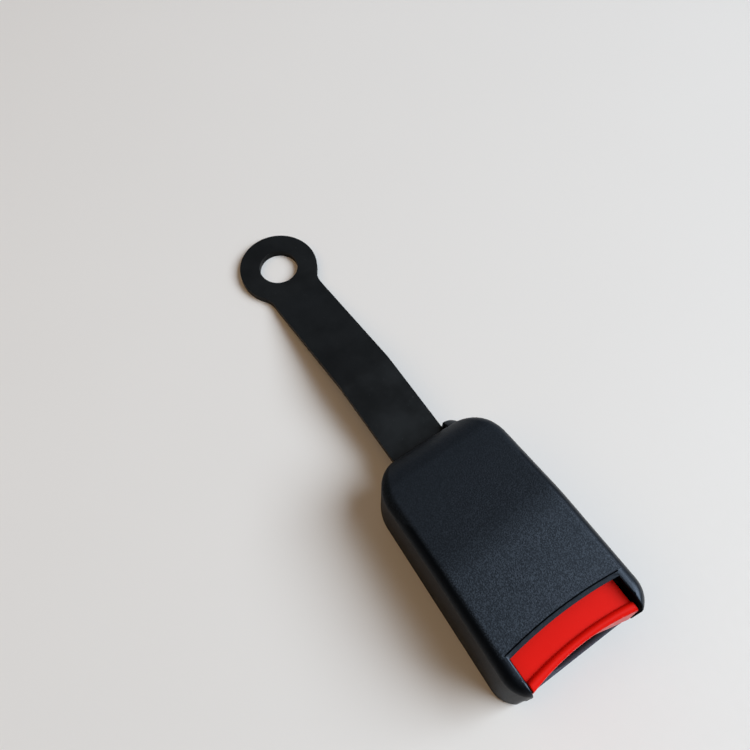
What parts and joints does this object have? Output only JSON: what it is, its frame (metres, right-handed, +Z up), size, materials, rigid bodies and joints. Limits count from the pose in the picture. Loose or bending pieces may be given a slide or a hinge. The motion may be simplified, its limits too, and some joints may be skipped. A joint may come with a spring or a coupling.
{
  "type": "seat belt buckle",
  "caption": "End-release seat belt buckle in a two-part black housing with a red press button, on a cranked flat steel anchor strap with a round bolt eye.",
  "frame": {"origin": "centre of the anchor eye, on the plane of the eye's underside, which is also the plane that the housing lies on", "axes": "+X from the eye along the strap to the button, +Y across the strap, +Z up out of the button's face of the housing"},
  "size_m": [0.1613, 0.0414, 0.026],
  "materials": {
    "cover_plastic": "fine spark-eroded grain, black",
    "painted_steel": "satin black coating on flat steel bar",
    "zinc_steel": "zinc-plated stamped steel",
    "spring_steel": "drawn spring wire",
    "red_plastic": "moulded red, satin",
    "slide_plastic": "acetal, moulded"
  },
  "bodies": {
    "housing": {"upper_cover": "cover_plastic", "lower_cover": "cover_plastic", "anchor_strap": "painted_steel", "frame_channel": "zinc_steel", "strap_rivet_rear": "zinc_steel", "strap_rivet_front": "zinc_steel", "tongue_guide": "cover_plastic", "latch_pivot_pin": "zinc_steel", "pivot_clip": "spring_steel", "spring_bridge": "zinc_steel", "button_spring_left": "spring_steel", "button_spring_right": "spring_steel", "ejector_spring_left": "spring_steel", "ejector_spring_right": "spring_steel", "latch_spring": "spring_steel"},
    "button": {"press_button": "red_plastic", "release_slide": "slide_plastic"},
    "latch": {"latch_plate": "zinc_steel"},
    "ejector": {"ejector": "slide_plastic", "ejector_foot": "slide_plastic"}
  },
  "joints": [
    {"name": "button_press", "type": "slide", "parent": "housing", "child": "button", "axis": [-1, 0, 0], "range_m": [0, 0.005], "stiffness_N_per_m": 600, "springref_m": -0.004, "deforming": ["button_spring_left", "button_spring_right"]},
    {"name": "latch_lift", "type": "hinge", "parent": "housing", "child": "latch", "pos_m": [0.103, 0, 0.0166], "axis": [0, -1, 0], "range_deg": [0, 13], "deforming": ["latch_spring"]},
    {"name": "ejector_slide", "type": "slide", "parent": "housing", "child": "ejector", "axis": [-1, 0, 0], "range_m": [0, 0.012], "stiffness_N_per_m": 250, "springref_m": -0.006, "deforming": ["ejector_spring_left", "ejector_spring_right"]}
  ],
  "couplings": [
    {"joint": "latch_lift", "follows": "button_press", "rad_per_m": 45.379}
  ]
}
